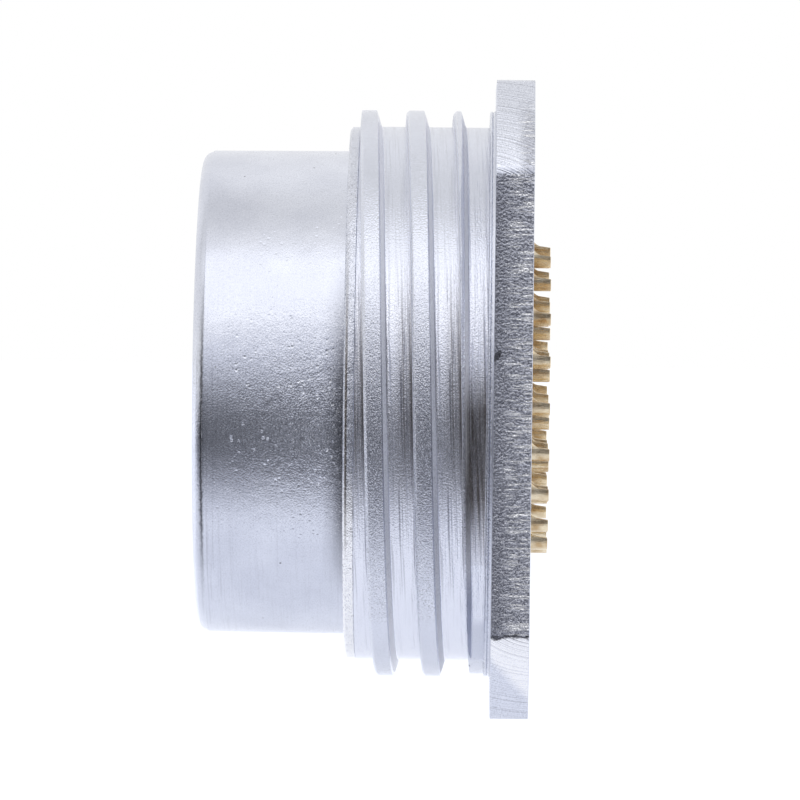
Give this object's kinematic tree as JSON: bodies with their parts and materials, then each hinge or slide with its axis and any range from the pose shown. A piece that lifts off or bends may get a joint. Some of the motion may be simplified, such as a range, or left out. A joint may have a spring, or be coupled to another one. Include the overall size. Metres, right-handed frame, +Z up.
{
  "type": "circular connector",
  "caption": "Panel-mount circular connector receptacle with a smooth barrel, a coarse coupling thread, a square flange and solder-cup contacts.",
  "frame": {"origin": "centre of the flange's rear face, on the connector's axis", "axes": "+X along the connector's axis, from the mating end towards the solder cups; +Z up, towards the main keyway"},
  "size_m": [0.0295, 0.0524, 0.0524],
  "materials": {
    "shell": "cast and turned alloy with a worn satin plating",
    "insert": "moulded, satin",
    "seal": "moulded, matt",
    "spring_steel": "stamped and oiled",
    "contact": "turned brass with thin gold plating"
  },
  "bodies": {
    "root": {"shell": "shell", "insert": "insert", "interface_seal": "seal", "retaining_ring": "spring_steel", "contact_01": "contact", "contact_02": "contact", "contact_03": "contact", "contact_04": "contact", "contact_05": "contact", "contact_06": "contact", "contact_07": "contact", "contact_08": "contact", "contact_09": "contact", "contact_10": "contact", "contact_11": "contact", "contact_12": "contact", "contact_13": "contact", "contact_14": "contact", "contact_15": "contact", "contact_16": "contact", "contact_17": "contact", "contact_18": "contact", "contact_19": "contact", "contact_20": "contact", "contact_21": "contact", "contact_22": "contact", "contact_23": "contact", "contact_24": "contact", "contact_25": "contact", "contact_26": "contact", "contact_27": "contact", "contact_28": "contact", "contact_29": "contact", "contact_30": "contact", "contact_31": "contact", "contact_32": "contact", "contact_33": "contact", "contact_34": "contact", "contact_35": "contact", "contact_36": "contact", "contact_37": "contact", "contact_38": "contact", "contact_39": "contact"}
  },
  "joints": []
}
